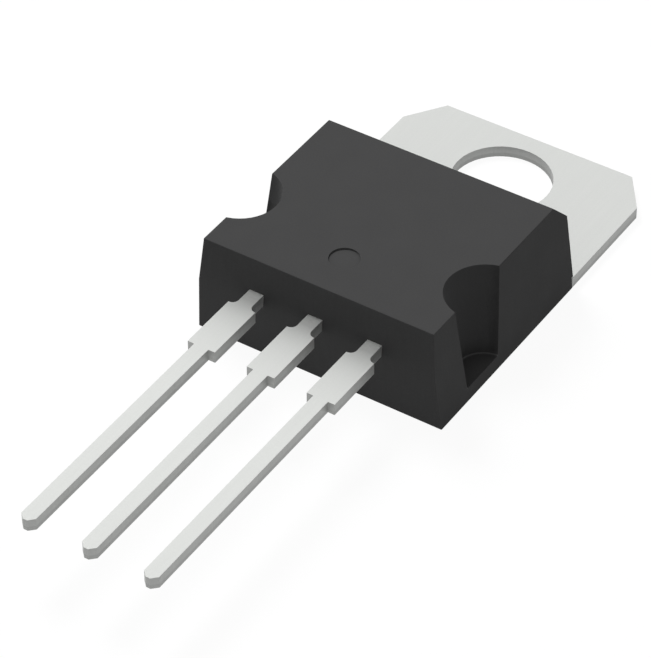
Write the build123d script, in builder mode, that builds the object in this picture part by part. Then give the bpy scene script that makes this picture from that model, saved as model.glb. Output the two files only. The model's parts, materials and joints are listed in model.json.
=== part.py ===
from build123d import *
from math import radians, tan
import os

os.makedirs("parts", exist_ok=True)

# A Darlington power transistor in the common three-lead moulded package with a
# screw tab.  Millimetres.  The origin is on the back face, on the axis of the
# screw hole.  +Z leaves the front of the package, +Y runs to the free end of the
# tab and -Y runs along the leads.

# --- Copper strip that the tab and all three leads are stamped from ---------------
sheet_thickness = 0.5

# --- Tab and die pad --------------------------------------------------------------
tab_width = 10.6
hole_diameter = 4.0
hole_to_tab_end = 2.82
hole_to_body = 3.53
corner_cut_across = 1.1
corner_cut_along = 1.57
tab_bite = 0.16            # the tab's shoulders reach this far under the plastic
pad_width = 8.0
lip_width = 0.2            # coined lip along the pad, which the plastic grips
lip_thickness = 0.25

# --- Moulded body -----------------------------------------------------------------
body_length = 9.74         # foot of the tab-side face to the parting ridge
body_height = 4.4
mould_draft = 5.0          # degrees, on the long sides and the lead end
tab_side_draft = 4.6       # degrees, on the face over the tab
tab_side_bevel = 0.95
body_edge_radius = 0.03
clamp_notch_from_ridge = 3.13
clamp_notch_radius = 1.07  # at the notch's floor
clamp_notch_draft = 7.5    # degrees
clamp_notch_skin = 0.07    # plastic between the notch's floor and the strip's level
clamp_notch_fillet = 0.1
ejector_mark_diameter = 1.19
ejector_mark_depth = 0.07
ejector_mark_from_ridge = 1.99

# --- Leads ------------------------------------------------------------------------
lead_pitch = 2.54
lead_height = 2.5          # back face to the underside of the leads
lead_length = 14.0         # parting ridge to the tips
lead_width = 0.62
neck_length = 0.91
shoulder_width = 1.18      # what is left of the dam bar that joined the leads
shoulder_length = 2.59
shoulder_fillet = 0.25
tip_chamfer = 0.22

# --- Inside the plastic -----------------------------------------------------------
riser_width = 2.0          # tongue that lifts the middle lead off the die pad
riser_angle = 65.0         # degrees
riser_bend_radius = 0.55   # to the middle of the sheet
riser_inset = 0.6          # parting ridge to the riser's upper bend
riser_landing = 0.1        # flat run between that bend and the lead's neck
post_width = 1.9           # bonding posts at the inner ends of the outer leads
post_length = 1.7
post_corner_radius = 0.25
post_offset = 0.15         # the posts stand outboard of their leads by this much
post_inset = 0.35
die_size = 3.2
die_thickness = 0.25
die_inset = 1.2            # edge of the die pad to the die
solder_thickness = 0.06
solder_margin = 0.12
base_wire_diameter = 0.2
emitter_wire_diameter = 0.38
base_bond_on_die = (-1.05, -0.95)   # from the middle of the die
emitter_bond_on_die = (0.7, 0.35)
wire_crest_height = 1.0    # where the wire's two straight runs would meet, above the post
wire_crest_share = 0.4     # of the way from the post to the die
wire_loop_radius = 1.0

# --- Modelling --------------------------------------------------------------------
pick_margin = 0.005        # edges and corners this near a level are taken as on it

# --- Worked-out places ------------------------------------------------------------
half_tab = tab_width / 2
tab_end = hole_to_tab_end
body_foot = -hole_to_body
tab_shoulder = body_foot - tab_bite
ridge = body_foot - body_length
parting = lead_height
lead_top = lead_height + sheet_thickness
shoulder_start = ridge - neck_length
shoulder_end = shoulder_start - shoulder_length
lead_tip = ridge - lead_length

draft_slope = tan(radians(mould_draft))
top_lead_end = ridge + (body_height - parting) * draft_slope
foot_lead_end = ridge + parting * draft_slope
bevel_foot_height = body_height - tab_side_bevel
bevel_foot = body_foot - bevel_foot_height * tan(radians(tab_side_draft))
top_tab_end = bevel_foot - tab_side_bevel
half_top = half_tab - body_height * draft_slope

bend_reach = riser_bend_radius * tan(radians(riser_angle / 2))
riser_run = lead_height / tan(radians(riser_angle))
riser_top = ridge + riser_inset
riser_foot = riser_top + riser_run
pad_end = riser_foot + bend_reach
neck_root = riser_top - bend_reach - riser_landing

post_middle = ridge + post_inset + post_length / 2
die_middle = pad_end + die_inset + die_size / 2
solder_top = sheet_thickness + solder_thickness
die_top = solder_top + die_thickness
notch_middle = ridge + clamp_notch_from_ridge
notch_floor = sheet_thickness + clamp_notch_skin


def lead_blade(root):
    """Plan of one lead from its root in the plastic to its tip, about its own axis."""
    with BuildSketch() as blade:
        with BuildLine():
            Polyline(
                (0, root),
                (lead_width / 2, root),
                (lead_width / 2, shoulder_start),
                (shoulder_width / 2, shoulder_start),
                (shoulder_width / 2, shoulder_end),
                (lead_width / 2, shoulder_end),
                (lead_width / 2, lead_tip + tip_chamfer),
                (lead_width / 2 - tip_chamfer, lead_tip),
                (0, lead_tip),
            )
            mirror(about=Plane.YZ)
        make_face()
        shoulder_corners = blade.vertices().filter_by_position(
            Axis.Y, shoulder_start - pick_margin, shoulder_start + pick_margin
        )
        neck_corners = shoulder_corners.sort_by(lambda corner: abs(corner.X))[:2]
        fillet(neck_corners, radius=shoulder_fillet)
    return blade.sketch


# --- Collector: tab, die pad, riser and middle lead in one stamping -----------------
with BuildPart() as collector_tab_lead:
    with BuildSketch():
        with BuildLine():
            Polyline(
                (0, tab_end),
                (half_tab - corner_cut_across, tab_end),
                (half_tab, tab_end - corner_cut_along),
                (half_tab, tab_shoulder),
                (pad_width / 2, tab_shoulder),
                (pad_width / 2, pad_end),
                (0, pad_end),
            )
            mirror(about=Plane.YZ)
        make_face()
        Circle(hole_diameter / 2, mode=Mode.SUBTRACT)
    extrude(amount=sheet_thickness)

    # Coined lip: only the upper half of the pad's edge is left at full width.
    with BuildSketch(Plane.XY.offset(sheet_thickness)):
        with Locations((0, (tab_shoulder + pad_end) / 2)):
            Rectangle(pad_width + 2 * lip_width, tab_shoulder - pad_end)
    extrude(amount=-lip_thickness)

    # The riser is the same sheet bent up from the pad to the height of the leads.
    with BuildSketch(Plane.YZ):
        with BuildLine():
            FilletPolyline(
                (pad_end + sheet_thickness, sheet_thickness / 2),
                (riser_foot, sheet_thickness / 2),
                (riser_top, lead_height + sheet_thickness / 2),
                (neck_root, lead_height + sheet_thickness / 2),
                radius=riser_bend_radius,
            )
        trace(line_width=sheet_thickness)
    extrude(amount=riser_width / 2, both=True)

    with BuildSketch(Plane.XY.offset(lead_height)):
        add(lead_blade(neck_root))
    extrude(amount=sheet_thickness)
collector_tab_lead.part.label = "collector_tab_lead"
export_step(collector_tab_lead.part, "parts/collector_tab_lead.step")


# --- Base and emitter: a lead and its bonding post in one stamping ------------------
outer_leads = {}
for name, side in (("base_lead", -1), ("emitter_lead", 1)):
    with BuildPart() as outer_lead:
        with BuildSketch(Plane.XY.offset(lead_height)):
            with Locations((side * lead_pitch, 0)):
                add(lead_blade(post_middle))
            with Locations((side * (lead_pitch + post_offset), post_middle)):
                RectangleRounded(post_width, post_length, post_corner_radius)
        extrude(amount=sheet_thickness)
    outer_lead.part.label = name
    export_step(outer_lead.part, f"parts/{name}.step")
    outer_leads[name] = outer_lead.part


# --- Silicon die and the solder that fixes it to the pad ----------------------------
with BuildPart() as die_attach_solder:
    with BuildSketch(Plane.XY.offset(sheet_thickness)):
        with Locations((0, die_middle)):
            solder_size = die_size + 2 * solder_margin
            RectangleRounded(solder_size, solder_size, solder_margin)
    extrude(amount=solder_thickness)
die_attach_solder.part.label = "die_attach_solder"
export_step(die_attach_solder.part, "parts/die_attach_solder.step")

with BuildPart() as silicon_die:
    with BuildSketch(Plane.XY.offset(solder_top)):
        with Locations((0, die_middle)):
            Rectangle(die_size, die_size)
    extrude(amount=die_thickness)
silicon_die.part.label = "silicon_die"
export_step(silicon_die.part, "parts/silicon_die.step")


# --- Bond wires ---------------------------------------------------------------------
def bond_wire(diameter, post_point, die_point, post):
    """Round wire looped from a post to the die, with a foot pressed flat at each end."""
    foot_length = 1.8 * diameter
    foot_width = 1.4 * diameter
    foot_height = 0.55 * diameter
    wire_height = 0.3 * diameter           # middle of the wire above what it is pressed on
    span = Vector(die_point) - Vector(post_point)
    loop_plane = Plane(
        origin=(post_point[0], post_point[1], lead_top),
        x_dir=(span.X, span.Y, 0),
        z_dir=(span.Y, -span.X, 0),
    )
    with BuildPart() as wire:
        with BuildLine(loop_plane) as route:
            FilletPolyline(
                (0, wire_height),
                (wire_crest_share * span.length, wire_crest_height),
                (span.length, wire_height - (lead_top - die_top)),
                radius=wire_loop_radius,
            )
        with BuildSketch(Plane(route.line @ 0, z_dir=route.line % 0)):
            Circle(diameter / 2)
        sweep(path=route.line)
        for foot_point, foot_level in ((post_point, lead_top), (die_point, die_top)):
            foot_plane = Plane(
                origin=(foot_point[0], foot_point[1], foot_level),
                x_dir=(span.X, span.Y, 0),
                z_dir=(0, 0, 1),
            )
            with BuildSketch(foot_plane):
                SlotOverall(foot_length, foot_width)
            extrude(amount=foot_height)
        add(post, mode=Mode.SUBTRACT)
        add(silicon_die.part, mode=Mode.SUBTRACT)
    return wire.part


base_bond_wire = bond_wire(
    base_wire_diameter,
    (-(lead_pitch + post_offset), post_middle),
    (base_bond_on_die[0], die_middle + base_bond_on_die[1]),
    outer_leads["base_lead"],
)
base_bond_wire.label = "base_bond_wire"
export_step(base_bond_wire, "parts/base_bond_wire.step")

emitter_bond_wire = bond_wire(
    emitter_wire_diameter,
    (lead_pitch + post_offset, post_middle),
    (emitter_bond_on_die[0], die_middle + emitter_bond_on_die[1]),
    outer_leads["emitter_lead"],
)
emitter_bond_wire.label = "emitter_bond_wire"
export_step(emitter_bond_wire, "parts/emitter_bond_wire.step")


# --- Moulded body -------------------------------------------------------------------
with BuildPart() as moulded_body:
    # Side view: a ridge at the leads, where the two mould halves meet, and a bevel
    # over the tab.
    with BuildSketch(Plane.YZ):
        with BuildLine():
            Polyline(
                (body_foot, 0),
                (bevel_foot, bevel_foot_height),
                (top_tab_end, body_height),
                (top_lead_end, body_height),
                (ridge, parting),
                (foot_lead_end, 0),
                close=True,
            )
        make_face()
    extrude(amount=half_tab, both=True)

    # End view: both long sides lean inward from the back face to the front.
    with BuildSketch(Plane.XZ):
        with BuildLine():
            Polyline(
                (-half_tab, 0),
                (half_tab, 0),
                (half_top, body_height),
                (-half_top, body_height),
                close=True,
            )
        make_face()
    extrude(amount=-2 * ridge, both=True, mode=Mode.INTERSECT)

    outline_edges = moulded_body.edges().filter_by(lambda edge: edge.center().Z > pick_margin)
    ridge_edges = moulded_body.edges().filter_by_position(Axis.Y, ridge - pick_margin, ridge + pick_margin)
    fillet(outline_edges - ridge_edges, radius=body_edge_radius)

    # Half-round notches where the mould's clamps hold the strip down.
    with BuildSketch(Plane.XY.offset(notch_floor)):
        with Locations((-half_tab, notch_middle), (half_tab, notch_middle)):
            Circle(clamp_notch_radius)
    extrude(amount=body_height, taper=-clamp_notch_draft, mode=Mode.SUBTRACT)
    arcs = moulded_body.edges().filter_by(GeomType.CIRCLE)
    floor_arcs = arcs.filter_by_position(Axis.Z, notch_floor - pick_margin, notch_floor + pick_margin)
    fillet(floor_arcs, radius=clamp_notch_fillet)

    with BuildSketch(Plane.XY.offset(body_height)):
        with Locations((0, ridge + ejector_mark_from_ridge)):
            Circle(ejector_mark_diameter / 2)
    extrude(amount=-ejector_mark_depth, mode=Mode.SUBTRACT)

    # The plastic is moulded round everything it holds.
    for held_piece in (
        collector_tab_lead.part,
        *outer_leads.values(),
        die_attach_solder.part,
        silicon_die.part,
        base_bond_wire,
        emitter_bond_wire,
    ):
        add(held_piece, mode=Mode.SUBTRACT)
moulded_body.part.label = "moulded_body"
export_step(moulded_body.part, "parts/moulded_body.step")
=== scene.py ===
import json
from math import cos, radians, sin, tan

import bpy
from mathutils import Matrix, Vector

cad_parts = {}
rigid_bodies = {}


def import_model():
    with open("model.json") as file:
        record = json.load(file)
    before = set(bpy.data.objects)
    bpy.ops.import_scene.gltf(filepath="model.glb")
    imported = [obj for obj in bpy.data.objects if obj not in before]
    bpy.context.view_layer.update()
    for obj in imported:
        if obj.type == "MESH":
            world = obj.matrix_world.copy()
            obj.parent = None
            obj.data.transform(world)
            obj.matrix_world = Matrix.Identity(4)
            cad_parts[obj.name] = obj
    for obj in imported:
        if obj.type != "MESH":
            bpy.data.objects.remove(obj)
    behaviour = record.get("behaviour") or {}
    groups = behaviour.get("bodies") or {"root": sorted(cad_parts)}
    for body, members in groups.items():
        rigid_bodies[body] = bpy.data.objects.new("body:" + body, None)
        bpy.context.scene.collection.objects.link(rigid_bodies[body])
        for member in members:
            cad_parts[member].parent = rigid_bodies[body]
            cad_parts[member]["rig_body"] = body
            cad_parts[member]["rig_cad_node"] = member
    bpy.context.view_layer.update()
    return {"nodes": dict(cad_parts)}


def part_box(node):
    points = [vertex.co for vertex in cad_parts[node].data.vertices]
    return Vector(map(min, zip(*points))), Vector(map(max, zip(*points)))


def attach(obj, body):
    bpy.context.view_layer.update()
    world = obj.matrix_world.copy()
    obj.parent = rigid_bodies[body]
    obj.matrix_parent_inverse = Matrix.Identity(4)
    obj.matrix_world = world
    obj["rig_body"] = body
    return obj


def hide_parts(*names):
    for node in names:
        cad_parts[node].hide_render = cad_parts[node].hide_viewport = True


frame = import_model()

# A Darlington transistor in a moulded three-lead package with a screw tab.
# Everything is in metres; sizes that read better in millimetres are times MM.
MM = 0.001

# --- Places on the part ----------------------------------------------------------------
BODY_LOW, BODY_HIGH = (Vector(corner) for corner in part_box("moulded_body"))
LEAD_LOW, LEAD_HIGH = (Vector(corner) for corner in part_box("base_lead"))
DIE_LOW, DIE_HIGH = (Vector(corner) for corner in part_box("silicon_die"))
SHEET = LEAD_HIGH.z - LEAD_LOW.z
LEAD_LEVEL = LEAD_LOW.z
LEAD_END_FACE = BODY_LOW.y
EJECTOR_MARK_MIDDLE = Vector((0, LEAD_END_FACE + 1.99 * MM, BODY_HIGH.z))
EJECTOR_MARK_RADIUS = 0.6 * MM
NOTCH_FROM_MIDDLE = 5.3 * MM     # each clamp notch's axis, off the part's middle line
NOTCH_ALONG = LEAD_END_FACE + 3.13 * MM
NOTCH_RADIUS = 1.07 * MM         # at its floor
NOTCH_FLOOR = 0.57 * MM
NOTCH_FLARE = tan(radians(7.5))  # how fast its radius grows upwards
NOTCH_FILLET = 0.1 * MM

# --- Camera: a long lens above the leads, looking over the front of the body -----------
CAMERA_AZIMUTH = 33.180          # degrees, as the next two
CAMERA_ELEVATION = 41.145
CAMERA_ROLL = -0.208
CAMERA_DISTANCE = 128.616 * MM
CAMERA_TARGET = Vector((-0.280, -12.123, 1.496)) * MM
CAMERA_LENS = 192.79
CAMERA_SENSOR = 36.0

# --- Light -----------------------------------------------------------------------------
SKY_LEVEL = 0.265
SOFTBOX_POWER = 0.79
SOFTBOX_SIZE = 0.11
SOFTBOX_PLACE = Vector((-0.150, 0.062, 0.25))
FLOOR_SIZE = 6.0
FLOOR_GAP = 0.01 * MM            # below the part's flat back
FLOOR_BOUNCE = 0.30              # grey that the floor shows to the part
FLOOR_GLOW = 0.34                # even light that it gives the part
FLOOR_SHADED = 0.07              # grey, which takes the shadow, where the floor is seen
FLOOR_WHITE = 0.94               # even white that it is seen with

# --- Edges of the rounded copies -------------------------------------------------------
MERGE_WITHIN = 0.0001 * MM
FLAT_WITHIN = radians(0.1)
SHARP_OVER = radians(30)
SMOOTH_UNDER = radians(35)
EDGE_ROUNDING = 0.012 * MM
ROUNDING_PROFILE = 0.45          # a rounder one puts a corner of the tab outside its solid

# --- Finishes: colours, and shades that multiply them ----------------------------------
EPOXY_GREY = (0.066, 0.066, 0.0665)
EPOXY_GLOSS = 0.04
EPOXY_ROUGHNESS = (0.66, 0.80)
# rubbed epoxy edges: wear, and partly a painted highlight
EPOXY_WORN_EDGE_AND_HIGHLIGHT = 1.35
RECESS_REACH = 0.8 * MM          # how far off a wall still shades a recess
# painted shade in the epoxy's corners and recesses
RECESS_PAINTED_SHADE = 0.72
# painted light on the upright wall of the ejector mark
MARK_WALL_PAINTED_LIGHT = 1.9
# painted light and shade in the clamp notches: paler floor, bright ring, darker rims
NOTCH_FLOOR_PAINTED_LIGHT = 1.35
NOTCH_RING_PAINTED_HIGHLIGHT = 2.0
NOTCH_RIM_PAINTED_SHADE = 0.74

TIN_GREY = (0.777, 0.790, 0.770)
TIN_METALLIC = 0.5
TIN_ROUGHNESS = (0.44, 0.54)
TAB_PAINTED_SHADE = 0.904                # painted shade: the tab's faces are darker than the leads'
# painted shade on the tab's sides and the wall of its hole
TAB_SIDE_PAINTED_SHADE = 0.95
SHEARED_SIDE_PAINTED_SHADE = 0.581            # upper part of a stamped side, cut clean; painted shade, much darker than the faces
TORN_SIDE_PAINTED_SHADE = 0.547               # lower part, torn; painted shade, a little darker still
TORN_ROUGHER = 1.2
LEAD_PAINTED_SHADE = 0.31               # how much painted shade darkens the leads' faces near the body
LEAD_PAINTED_SHADE_START = 0.1 * MM
LEAD_PAINTED_SHADE_FULL = 0.48 * MM
LEAD_PAINTED_SHADE_FADE = 1.5 * MM
# painted shade on the sides of the leads near the body
NECK_SIDE_PAINTED_SHADE = 0.72
NECK_SIDE_PAINTED_SHADE_REACH = 1.3 * MM
LEAD_ROOT_PAINTED_LIGHT = 1.22           # painted light: each lead is made brighter right at the body, against the shade there
LEAD_ROOT_PAINTED_LIGHT_REACH = 0.35 * MM

SILICON_BLUE = (0.055, 0.065, 0.095)
SILICON_ROUGHNESS = (0.20, 0.34)
DIE_METAL_GREY = (0.60, 0.61, 0.62)
DIE_LINE_EDGE = 0.01 * MM
GUARD_RING_OUTSIDE = 0.15 * MM   # these three are in from the edge of the die
GUARD_RING_INSIDE = 0.21 * MM
FINGER_FIELD = 0.32 * MM
FINGER_SCALE = 700.0
SOLDER_GREY = (0.46, 0.47, 0.47)
SOLDER_ROUGHNESS = (0.32, 0.50)
SOLDER_WORN_SHADE = 1.12
ALUMINIUM_GREY = (0.80, 0.80, 0.81)
ALUMINIUM_ROUGHNESS = (0.24, 0.38)


# --- Mesh helpers ----------------------------------------------------------------------
def deselect_all():
    for other in bpy.context.selected_objects:
        other.select_set(False)
    bpy.context.view_layer.objects.active = None


def apply_modifier(piece, name, kind, **settings):
    modifier = piece.modifiers.new(name, kind)
    for setting, value in settings.items():
        setattr(modifier, setting, value)
    bpy.ops.object.modifier_apply(modifier=modifier.name)


def rounded_copy(node, name):
    """A merged copy of a CAD node with its sharp edges slightly rounded."""
    deselect_all()
    source = frame["nodes"][node]
    source.select_set(True)
    bpy.context.view_layer.objects.active = source
    bpy.ops.object.duplicate()
    piece = bpy.context.view_layer.objects.active
    piece.name = name
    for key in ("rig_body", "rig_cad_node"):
        del piece[key]  # the copy is a piece of its own
    bpy.ops.mesh.customdata_custom_splitnormals_clear()

    # The solid's loose triangles become one closed mesh of flat faces.
    bpy.ops.object.mode_set(mode="EDIT")
    bpy.ops.mesh.select_all(action="SELECT")
    bpy.ops.mesh.remove_doubles(threshold=MERGE_WITHIN)
    bpy.ops.mesh.dissolve_limited(angle_limit=FLAT_WITHIN)
    bpy.ops.mesh.normals_make_consistent(inside=False)
    bpy.ops.object.mode_set(mode="OBJECT")

    apply_modifier(
        piece,
        "edge_rounding",
        "BEVEL",
        width=EDGE_ROUNDING,
        segments=2,
        profile=ROUNDING_PROFILE,
        limit_method="ANGLE",
        angle_limit=SHARP_OVER,
    )
    bpy.ops.object.shade_smooth_by_angle(angle=SMOOTH_UNDER)
    apply_modifier(piece, "flat_faces_stay_flat", "WEIGHTED_NORMAL", keep_sharp=True)
    deselect_all()
    return piece


# --- Node helpers ----------------------------------------------------------------------
def feed(tree, socket, value):
    """Links a socket to another node's output, or sets its plain value."""
    if isinstance(value, bpy.types.NodeSocket):
        tree.links.new(value, socket)
    else:
        socket.default_value = value


def math_node(tree, operation, *values, clamp=False):
    node = tree.nodes.new("ShaderNodeMath")
    node.operation = operation
    node.use_clamp = clamp
    for socket, value in zip(node.inputs, values):
        feed(tree, socket, value)
    return node.outputs[0]


def product(tree, first, *others):
    for other in others:
        first = math_node(tree, "MULTIPLY", first, other)
    return first


def vector_node(tree, operation, *values, result="Vector"):
    node = tree.nodes.new("ShaderNodeVectorMath")
    node.operation = operation
    for socket, value in zip(node.inputs, values):
        feed(tree, socket, value)
    return node.outputs[result]


def range_node(tree, value, low, high, to_low, to_high, smooth=False):
    node = tree.nodes.new("ShaderNodeMapRange")
    node.interpolation_type = "SMOOTHSTEP" if smooth else "LINEAR"
    feed(tree, node.inputs["Value"], value)
    feed(tree, node.inputs["From Min"], low)
    feed(tree, node.inputs["From Max"], high)
    feed(tree, node.inputs["To Min"], to_low)
    feed(tree, node.inputs["To Max"], to_high)
    return node.outputs["Result"]


def rising(tree, value, low, high):
    """A mask: 0 up to low, 1 from high on."""
    return range_node(tree, value, low, high, 0.0, 1.0)


def falling(tree, value, low, high):
    """A mask: 1 up to low, 0 from high on."""
    return range_node(tree, value, low, high, 1.0, 0.0)


def blend(tree, mask, off, on):
    """off where the mask is 0, on where it is 1."""
    return range_node(tree, mask, 0.0, 1.0, off, on)


def noise_node(tree, position, scale, detail=2.0, roughness=0.5):
    node = tree.nodes.new("ShaderNodeTexNoise")
    feed(tree, node.inputs["Vector"], position)
    feed(tree, node.inputs["Scale"], scale)
    feed(tree, node.inputs["Detail"], detail)
    feed(tree, node.inputs["Roughness"], roughness)
    return node.outputs["Fac"]


def axes_of(tree, vector):
    node = tree.nodes.new("ShaderNodeSeparateXYZ")
    tree.links.new(vector, node.inputs[0])
    return node.outputs["X"], node.outputs["Y"], node.outputs["Z"]


def object_position(tree):
    return tree.nodes.new("ShaderNodeTexCoord").outputs["Object"]


def surface_normal(tree):
    return tree.nodes.new("ShaderNodeNewGeometry").outputs["Normal"]


# --- Effects that several finishes share -----------------------------------------------
def new_effect(name, inputs, outputs):
    group = bpy.data.node_groups.new(name, "ShaderNodeTree")
    for label, kind in inputs:
        group.interface.new_socket(label, in_out="INPUT", socket_type=kind)
    for label in outputs:
        group.interface.new_socket(label, in_out="OUTPUT", socket_type="NodeSocketFloat")
    given = group.nodes.new("NodeGroupInput").outputs
    result = group.nodes.new("NodeGroupOutput").inputs
    return group, given, result


def grain_effect():
    """Fine grain and broad clouding: a shade around 1, and a height for bump."""
    group, given, result = new_effect(
        "grain",
        [
            ("Position", "NodeSocketVector"),
            ("Grain Scale", "NodeSocketFloat"),
            ("Cloud Scale", "NodeSocketFloat"),
            ("Contrast", "NodeSocketFloat"),
        ],
        ["Shade", "Height", "Cloud"],
    )
    grain = noise_node(group, given["Position"], given["Grain Scale"], detail=2.0, roughness=0.6)
    cloud = noise_node(group, given["Position"], given["Cloud Scale"], detail=3.0)
    both = math_node(group, "ADD", grain, cloud)
    swing = math_node(group, "MULTIPLY", math_node(group, "SUBTRACT", both, 1.0), given["Contrast"])
    feed(group, result["Shade"], math_node(group, "ADD", swing, 1.0))
    feed(group, result["Height"], grain)
    feed(group, result["Cloud"], cloud)
    return group


def streak_effect():
    """Lines drawn out by rolling, shearing or a die: noise that is stretched one way."""
    group, given, result = new_effect(
        "streaks",
        [
            ("Position", "NodeSocketVector"),
            ("Stretch", "NodeSocketVector"),
            ("Contrast", "NodeSocketFloat"),
        ],
        ["Shade", "Height"],
    )
    stretched = vector_node(group, "MULTIPLY", given["Position"], given["Stretch"])
    lines = noise_node(group, stretched, 1.0, detail=3.0, roughness=0.55)
    swing = math_node(group, "MULTIPLY", math_node(group, "SUBTRACT", lines, 0.5), given["Contrast"])
    feed(group, result["Shade"], math_node(group, "ADD", swing, 1.0))
    feed(group, result["Height"], lines)
    return group


def edge_wear_effect():
    """1 on rubbed edges, broken up by noise, 0 on the faces."""
    group, given, result = new_effect(
        "edge_wear",
        [
            ("Position", "NodeSocketVector"),
            ("Width", "NodeSocketFloat"),
            ("Breakup Scale", "NodeSocketFloat"),
        ],
        ["Wear"],
    )
    rounded = group.nodes.new("ShaderNodeBevel")
    rounded.samples = 8
    feed(group, rounded.inputs["Radius"], given["Width"])
    turned, straight = rounded.outputs["Normal"], surface_normal(group)
    agreement = vector_node(group, "DOT_PRODUCT", turned, straight, result="Value")
    edge = falling(group, agreement, 0.80, 0.99)
    breakup = noise_node(group, given["Position"], given["Breakup Scale"], detail=2.0)
    patchy = range_node(group, breakup, 0.35, 0.6, 0.25, 1.0)
    feed(group, result["Wear"], product(group, edge, patchy))
    return group


def upright_faces_effect():
    """1 on upright faces, 0 on level ones, by how far the surface normal leans up or down."""
    group, given, result = new_effect(
        "upright_faces",
        [
            ("Upright Below", "NodeSocketFloat"),
            ("Level Above", "NodeSocketFloat"),
        ],
        ["Mask"],
    )
    lean = math_node(group, "ABSOLUTE", axes_of(group, surface_normal(group))[2])
    feed(group, result["Mask"], falling(group, lean, given["Upright Below"], given["Level Above"]))
    return group


GRAIN = grain_effect()
STREAKS = streak_effect()
EDGE_WEAR = edge_wear_effect()
UPRIGHT_FACES = upright_faces_effect()


def effect(tree, group, **inputs):
    node = tree.nodes.new("ShaderNodeGroup")
    node.node_tree = group
    for label, value in inputs.items():
        feed(tree, node.inputs[label.replace("_", " ")], value)
    return node.outputs


# --- Finishes --------------------------------------------------------------------------
def new_finish(name):
    material = bpy.data.materials.new(name)
    material.use_nodes = True
    tree = material.node_tree
    return material, tree, tree.nodes["Principled BSDF"], object_position(tree)


def set_colour(tree, shader, colour, shade):
    """Base colour: one colour, or another node's, times a shade around 1."""
    scaled = tree.nodes.new("ShaderNodeVectorMath")
    scaled.operation = "SCALE"
    feed(tree, scaled.inputs[0], colour)
    feed(tree, scaled.inputs["Scale"], shade)
    tree.links.new(scaled.outputs["Vector"], shader.inputs["Base Color"])


def set_bump(tree, shader, height, depth, strength):
    bump = tree.nodes.new("ShaderNodeBump")
    bump.inputs["Distance"].default_value = depth
    bump.inputs["Strength"].default_value = strength
    feed(tree, bump.inputs["Height"], height)
    tree.links.new(bump.outputs["Normal"], shader.inputs["Normal"])


def set_roughness(tree, shader, cloud, limits, *shades):
    """Roughness that drifts between two limits with the clouding, times any shades."""
    drift = range_node(tree, cloud, 0.3, 0.7, *limits)
    feed(tree, shader.inputs["Roughness"], product(tree, drift, *shades))


def faded(tree, shade, amount):
    """A shade around 1, at full strength where amount is 1 and gone where it is 0."""
    swing = math_node(tree, "SUBTRACT", shade, 1.0)
    return math_node(tree, "ADD", product(tree, swing, amount), 1.0)


def notch_painted_light_and_shade(tree, position):
    """Painted light and shade in the clamp notches: a paler floor, a fine bright ring in the fillet
    round it as a painted highlight, and a band of painted shade down each rim of the wall."""
    folded = vector_node(tree, "ABSOLUTE", position)  # lays one notch over the other
    off_axis = vector_node(tree, "SUBTRACT", folded, (NOTCH_FROM_MIDDLE, -NOTCH_ALONG, 0))
    off_axis = vector_node(tree, "MULTIPLY", off_axis, (1, 1, 0))
    radius = vector_node(tree, "LENGTH", off_axis, result="Value")
    above_floor = math_node(tree, "SUBTRACT", axes_of(tree, position)[2], NOTCH_FLOOR)
    wall_radius = math_node(tree, "MULTIPLY_ADD", above_floor, NOTCH_FLARE, NOTCH_RADIUS)
    past_wall = math_node(tree, "SUBTRACT", radius, wall_radius)
    in_notch = product(
        tree,
        math_node(tree, "LESS_THAN", past_wall, 0.01 * MM),
        math_node(tree, "GREATER_THAN", above_floor, -0.005 * MM),
    )
    up_fillet = math_node(tree, "DIVIDE", above_floor, NOTCH_FILLET)
    on_floor = falling(tree, up_fillet, 0.05, 0.15)
    in_fillet = product(tree, rising(tree, up_fillet, 0.1, 0.2), falling(tree, up_fillet, 0.5, 0.7))
    to_rim = math_node(tree, "DIVIDE", axes_of(tree, off_axis)[1], radius)
    to_rim = math_node(tree, "ABSOLUTE", to_rim)
    at_rim = product(tree, rising(tree, to_rim, 0.88, 0.98), rising(tree, up_fillet, 1.0, 2.0))
    return product(
        tree,
        blend(tree, product(tree, in_notch, on_floor), 1.0, NOTCH_FLOOR_PAINTED_LIGHT),
        blend(tree, product(tree, in_notch, in_fillet), 1.0, NOTCH_RING_PAINTED_HIGHLIGHT),
        blend(tree, product(tree, in_notch, at_rim), 1.0, NOTCH_RIM_PAINTED_SHADE),
    )


def painted_recess_shade(tree):
    """Painted shade: darker in corners and recesses, where shade falls."""
    recess = tree.nodes.new("ShaderNodeAmbientOcclusion")
    recess.only_local = True
    recess.inputs["Distance"].default_value = RECESS_REACH
    return range_node(tree, recess.outputs["AO"], 0.35, 0.98, RECESS_PAINTED_SHADE, 1.0)


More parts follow.
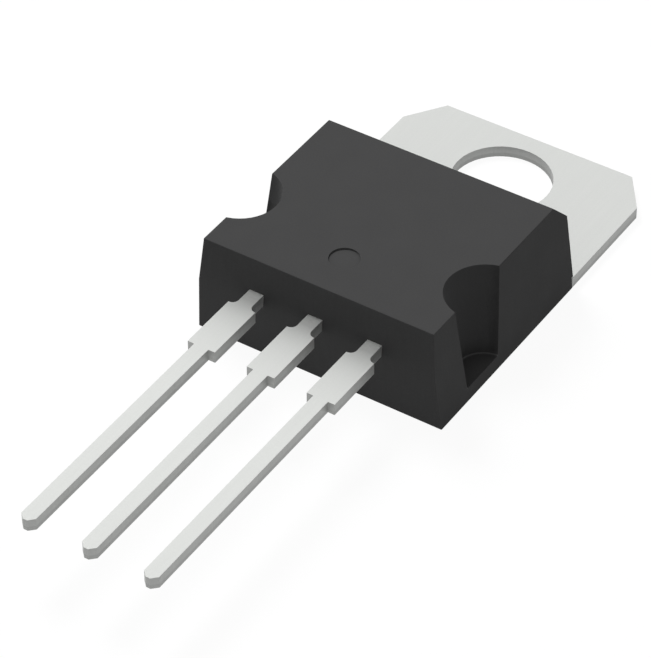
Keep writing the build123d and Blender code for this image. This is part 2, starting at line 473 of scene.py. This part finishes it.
def black_epoxy():
    """Silica-filled black moulding compound, matte from a spark-eroded mould."""
    material, tree, shader, position = new_finish("black_epoxy_moulding_compound")
    grain = effect(
        tree, GRAIN, Position=position, Grain_Scale=15000.0, Cloud_Scale=700.0, Contrast=0.16
    )
    wear = effect(tree, EDGE_WEAR, Position=position, Width=0.035 * MM, Breakup_Scale=2500.0)
    # Rubbed edges are lighter: wear, and partly a painted highlight along the edges.
    worn_and_highlit = blend(tree, wear["Wear"], 1.0, EPOXY_WORN_EDGE_AND_HIGHLIGHT)

    # Drag lines run up the drafted sides only, the way the body leaves its mould.
    upright = effect(tree, UPRIGHT_FACES, Upright_Below=0.2, Level_Above=0.5)["Mask"]
    drag = effect(tree, STREAKS, Position=position, Stretch=(9000.0, 9000.0, 350.0), Contrast=0.10)
    dragged = faded(tree, drag["Shade"], upright)

    # The mould's ejector pin is polished, so the mark it leaves is smoother than the rest.
    from_pin = vector_node(tree, "DISTANCE", position, EJECTOR_MARK_MIDDLE, result="Value")
    from_pin = math_node(tree, "DIVIDE", from_pin, EJECTOR_MARK_RADIUS)
    off_mark = rising(tree, from_pin, 0.95, 1.02)
    in_mark = math_node(tree, "LESS_THAN", from_pin, 1.01)
    # Painted light: the upright wall of the ejector mark is made paler, where it lies in shade.
    mark_wall_painted_light = faded(tree, MARK_WALL_PAINTED_LIGHT, product(tree, in_mark, upright))

    painted_notch_light_and_shade = notch_painted_light_and_shade(tree, position)
    shade = product(tree, grain["Shade"], dragged, painted_recess_shade(tree), worn_and_highlit, painted_notch_light_and_shade, mark_wall_painted_light)
    set_colour(tree, shader, EPOXY_GREY, shade)

    rubbed = blend(tree, wear["Wear"], 1.0, 0.75)
    polished = blend(tree, off_mark, 0.8, 1.0)
    set_roughness(tree, shader, grain["Cloud"], EPOXY_ROUGHNESS, rubbed, polished)
    shader.inputs["Specular IOR Level"].default_value = EPOXY_GLOSS
    texture = product(tree, grain["Height"], blend(tree, off_mark, 0.25, 1.0))
    set_bump(tree, shader, texture, depth=0.004 * MM, strength=0.6)
    return material


def lead_face_painted_light_and_shade(tree, past_body):
    """Painted shade, and the body's painted dark reflection: the leads' faces darken near the body.
    """
    past_full = math_node(tree, "SUBTRACT", past_body, LEAD_PAINTED_SHADE_FULL)
    past_full = math_node(tree, "MAXIMUM", past_full, 0.0)
    thinned = math_node(tree, "EXPONENT", math_node(tree, "DIVIDE", past_full, -LEAD_PAINTED_SHADE_FADE))
    begun = rising(tree, past_body, LEAD_PAINTED_SHADE_START, LEAD_PAINTED_SHADE_FULL)
    shaded_near_body = blend(tree, product(tree, thinned, begun), 1.0, 1.0 - LEAD_PAINTED_SHADE)
    # Painted light: the leads are brightened right at the body, against the shade there.
    root_painted_light = range_node(tree, past_body, 0.0, LEAD_ROOT_PAINTED_LIGHT_REACH, LEAD_ROOT_PAINTED_LIGHT, 1.0, smooth=True)
    return product(tree, shaded_near_body, root_painted_light)


def matte_tin():
    """Matte tin over rolled and stamped copper strip."""
    material, tree, shader, position = new_finish("matte_tin_on_copper")
    _, along, height = axes_of(tree, position)
    grain = effect(
        tree, GRAIN, Position=position, Grain_Scale=16000.0, Cloud_Scale=1100.0, Contrast=0.07
    )
    rolled = effect(
        tree, STREAKS, Position=position, Stretch=(9000.0, 250.0, 9000.0), Contrast=0.05
    )
    sheared = effect(
        tree, STREAKS, Position=position, Stretch=(16000.0, 16000.0, 900.0), Contrast=0.16
    )
    wear = effect(tree, EDGE_WEAR, Position=position, Width=0.02 * MM, Breakup_Scale=3000.0)

    # The press shears the upper part of each stamped side clean and tears the rest. The sides
    #     # are painted much darker than the faces, as shade, and the torn part a little darker
    #     still.
    side = effect(tree, UPRIGHT_FACES, Upright_Below=0.35, Level_Above=0.85)["Mask"]
    face = math_node(tree, "SUBTRACT", 1.0, side)
    on_leads = math_node(tree, "GREATER_THAN", height, LEAD_LEVEL - SHEET)
    up_the_sheet = math_node(tree, "SUBTRACT", height, product(tree, on_leads, LEAD_LEVEL))
    torn = falling(tree, up_the_sheet, 0.34 * SHEET, 0.42 * SHEET)
    stamped_side_painted_shade = blend(tree, torn, SHEARED_SIDE_PAINTED_SHADE, TORN_SIDE_PAINTED_SHADE)

    past_body = math_node(tree, "SUBTRACT", LEAD_END_FACE, along)
    # Painted shade: the sides of the leads darken towards the body.
    lead_side_painted_shade = range_node(
        tree, past_body, 0.0, NECK_SIDE_PAINTED_SHADE_REACH, NECK_SIDE_PAINTED_SHADE, 1.0, smooth=True
    )
    side_painted_level = blend(tree, on_leads, TAB_SIDE_PAINTED_SHADE, lead_side_painted_shade)
    face_painted_level = blend(tree, on_leads, TAB_PAINTED_SHADE, lead_face_painted_light_and_shade(tree, past_body))
    side_shade = faded(tree, product(tree, sheared["Shade"], stamped_side_painted_shade, side_painted_level), side)
    face_shade = faded(tree, product(tree, rolled["Shade"], face_painted_level), face)
    set_colour(tree, shader, TIN_GREY, product(tree, grain["Shade"], face_shade, side_shade))

    rubbed = blend(tree, wear["Wear"], 1.0, 0.7)
    rough_tear = blend(tree, product(tree, torn, side), 1.0, TORN_ROUGHER)
    set_roughness(tree, shader, grain["Cloud"], TIN_ROUGHNESS, rubbed, rough_tear)
    shader.inputs["Metallic"].default_value = TIN_METALLIC
    faces = math_node(tree, "ADD", grain["Height"], product(tree, rolled["Height"], 0.5))
    texture = math_node(tree, "ADD", faces, product(tree, sheared["Height"], side, 1.5))
    set_bump(tree, shader, texture, depth=0.003 * MM, strength=0.5)
    return material


def square_mask(tree, position, middle, half_size):
    """1 inside an upright square post about middle, 0 outside it, over a soft edge."""
    off = vector_node(tree, "ABSOLUTE", vector_node(tree, "SUBTRACT", position, middle))
    across, along, _ = axes_of(tree, off)
    reach = math_node(tree, "MAXIMUM", across, along)
    return falling(tree, reach, half_size - DIE_LINE_EDGE, half_size + DIE_LINE_EDGE)


def two_tone(tree, amount, low, high):
    """A colour that runs from low to high as amount runs from 0 to 1."""
    ramp = tree.nodes.new("ShaderNodeValToRGB")
    for stop, colour in zip(ramp.color_ramp.elements, (low, high)):
        stop.color = (*colour, 1)
    feed(tree, ramp.inputs["Fac"], amount)
    return ramp.outputs["Color"]


def passivated_silicon():
    """The die: a scribed rim, a guard ring, and finger metal over its two transistors."""
    material, tree, shader, position = new_finish("passivated_silicon")
    middle = (DIE_LOW + DIE_HIGH) / 2
    half_die = (DIE_HIGH.x - DIE_LOW.x) / 2
    grain = effect(
        tree, GRAIN, Position=position, Grain_Scale=30000.0, Cloud_Scale=1500.0, Contrast=0.12
    )
    fingers = tree.nodes.new("ShaderNodeTexWave")
    fingers.bands_direction = "X"
    fingers.inputs["Scale"].default_value = FINGER_SCALE
    feed(tree, fingers.inputs["Vector"], position)

    ring_outside = square_mask(tree, position, middle, half_die - GUARD_RING_OUTSIDE)
    ring_inside = square_mask(tree, position, middle, half_die - GUARD_RING_INSIDE)
    ring = math_node(tree, "SUBTRACT", ring_outside, ring_inside)
    field = square_mask(tree, position, middle, half_die - FINGER_FIELD)
    finger_metal = product(tree, field, rising(tree, fingers.outputs["Fac"], 0.30, 0.40))
    metal = math_node(tree, "MAXIMUM", finger_metal, ring)

    colour = two_tone(tree, metal, SILICON_BLUE, DIE_METAL_GREY)
    set_colour(tree, shader, colour, grain["Shade"])
    feed(tree, shader.inputs["Metallic"], metal)
    set_roughness(tree, shader, grain["Cloud"], SILICON_ROUGHNESS)
    texture = math_node(tree, "ADD", metal, product(tree, grain["Height"], 0.1))
    set_bump(tree, shader, texture, depth=0.003 * MM, strength=0.6)
    return material


def lead_tin_solder():
    """Reflowed solder: cloudy, with a coarse frosted grain."""
    material, tree, shader, position = new_finish("reflowed_solder")
    grain = effect(
        tree, GRAIN, Position=position, Grain_Scale=12000.0, Cloud_Scale=2200.0, Contrast=0.25
    )
    wear = effect(tree, EDGE_WEAR, Position=position, Width=0.02 * MM, Breakup_Scale=4000.0)
    brightened = blend(tree, wear["Wear"], 1.0, SOLDER_WORN_SHADE)
    set_colour(tree, shader, SOLDER_GREY, product(tree, grain["Shade"], brightened))
    set_roughness(tree, shader, grain["Cloud"], SOLDER_ROUGHNESS)
    shader.inputs["Metallic"].default_value = 1.0
    set_bump(tree, shader, grain["Height"], depth=0.004 * MM, strength=0.6)
    return material


def drawn_aluminium():
    """Bond wire: faint lines along the draw and a soft oxide clouding."""
    material, tree, shader, position = new_finish("drawn_aluminium_wire")
    grain = effect(
        tree, GRAIN, Position=position, Grain_Scale=25000.0, Cloud_Scale=3000.0, Contrast=0.10
    )
    lines = effect(
        tree, STREAKS, Position=position, Stretch=(20000.0, 1200.0, 20000.0), Contrast=0.15
    )
    set_colour(tree, shader, ALUMINIUM_GREY, product(tree, grain["Shade"], lines["Shade"]))
    set_roughness(tree, shader, grain["Cloud"], ALUMINIUM_ROUGHNESS)
    shader.inputs["Metallic"].default_value = 1.0
    set_bump(tree, shader, lines["Height"], depth=0.002 * MM, strength=0.5)
    return material


# --- Stage -----------------------------------------------------------------------------
def seen_directly(tree):
    """1 for camera, glossy and transmission rays, 0 for the rest."""
    path = tree.nodes.new("ShaderNodeLightPath")
    either = math_node(tree, "ADD", path.outputs["Is Camera Ray"], path.outputs["Is Glossy Ray"])
    return math_node(tree, "ADD", either, path.outputs["Is Transmission Ray"], clamp=True)


def lit_surface(tree, grey, glow):
    """A grey surface that takes shadows, lit evenly from within."""
    surface = tree.nodes.new("ShaderNodeBsdfDiffuse")
    surface.inputs["Color"].default_value = (grey, grey, grey, 1)
    light = tree.nodes.new("ShaderNodeEmission")
    light.inputs["Strength"].default_value = glow
    both = tree.nodes.new("ShaderNodeAddShader")
    feed(tree, both.inputs[0], surface.outputs[0])
    feed(tree, both.inputs[1], light.outputs[0])
    return both.outputs[0]


def make_floor():
    """A pale table: white where it is seen, but for a faint shadow, and grey to the part."""
    deselect_all()
    bpy.ops.mesh.primitive_plane_add(size=FLOOR_SIZE, location=(0, 0, -FLOOR_GAP))
    floor = bpy.context.view_layer.objects.active
    floor.name = "floor"
    material = bpy.data.materials.new("white_table")
    material.use_nodes = True
    tree = material.node_tree
    tree.nodes.clear()
    pick = tree.nodes.new("ShaderNodeMixShader")
    out = tree.nodes.new("ShaderNodeOutputMaterial")
    feed(tree, pick.inputs["Fac"], seen_directly(tree))
    feed(tree, pick.inputs[1], lit_surface(tree, FLOOR_BOUNCE, FLOOR_GLOW))
    feed(tree, pick.inputs[2], lit_surface(tree, FLOOR_SHADED, FLOOR_WHITE))
    feed(tree, out.inputs["Surface"], pick.outputs[0])
    floor.data.materials.append(material)


def make_world():
    world = bpy.data.worlds.new("white_studio")
    bpy.context.scene.world = world
    world.use_nodes = True
    tree = world.node_tree
    tree.nodes.clear()
    background = tree.nodes.new("ShaderNodeBackground")
    background.inputs["Color"].default_value = (1, 1, 1, 1)
    out = tree.nodes.new("ShaderNodeOutputWorld")
    feed(tree, background.inputs["Strength"], blend(tree, seen_directly(tree), SKY_LEVEL, 1.0))
    feed(tree, out.inputs["Surface"], background.outputs[0])


def make_softbox():
    light = bpy.data.lights.new("softbox", "AREA")
    light.shape = "SQUARE"
    light.size = SOFTBOX_SIZE
    light.energy = SOFTBOX_POWER
    softbox = bpy.data.objects.new("softbox", light)
    softbox.location = SOFTBOX_PLACE
    softbox.rotation_euler = SOFTBOX_PLACE.to_track_quat("Z", "Y").to_euler()
    softbox.visible_glossy = False
    bpy.context.scene.collection.objects.link(softbox)


def make_camera():
    azimuth, elevation, roll = map(radians, (CAMERA_AZIMUTH, CAMERA_ELEVATION, CAMERA_ROLL))
    back = Vector((sin(azimuth) * cos(elevation), -cos(azimuth) * cos(elevation), sin(elevation)))
    level = Vector((cos(azimuth), sin(azimuth), 0))
    upright = back.cross(level)
    right = level * cos(roll) + upright * sin(roll)
    up = upright * cos(roll) - level * sin(roll)
    lens = bpy.data.cameras.new("camera")
    lens.sensor_width = CAMERA_SENSOR
    lens.sensor_fit = "AUTO"
    lens.lens = CAMERA_LENS
    lens.clip_start = 1 * MM
    lens.clip_end = 10.0
    camera = bpy.data.objects.new("camera", lens)
    turn = Matrix((right, up, back)).transposed().to_4x4()
    camera.matrix_world = Matrix.Translation(CAMERA_TARGET + back * CAMERA_DISTANCE) @ turn
    bpy.context.scene.collection.objects.link(camera)
    bpy.context.scene.camera = camera


make_camera()
make_world()
make_softbox()
make_floor()
bpy.context.scene.view_settings.view_transform = "Standard"

# --- Outside pieces: rounded copies of the solids -----------------------------------------
EPOXY = black_epoxy()
TIN = matte_tin()
for node, name, slot, finish in (
    ("moulded_body", "epoxy_body", "black_epoxy", EPOXY),
    ("collector_tab_lead", "tab_and_collector_lead", "tinned_copper", TIN),
    ("base_lead", "base_lead_blade", "tinned_copper", TIN),
    ("emitter_lead", "emitter_lead_blade", "tinned_copper", TIN),
):
    piece = rounded_copy(node, name)
    piece.data.materials.clear()
    piece.data.materials.append(finish)
    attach(piece, "root")
    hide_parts(node)

# --- Sealed pieces: the solids themselves, with their finishes ----------------------------
WIRE = drawn_aluminium()
for node, finish in (
    ("silicon_die", passivated_silicon()),
    ("die_attach_solder", lead_tin_solder()),
    ("base_bond_wire", WIRE),
    ("emitter_bond_wire", WIRE),
):
    frame["nodes"][node].material_slots[0].material = finish
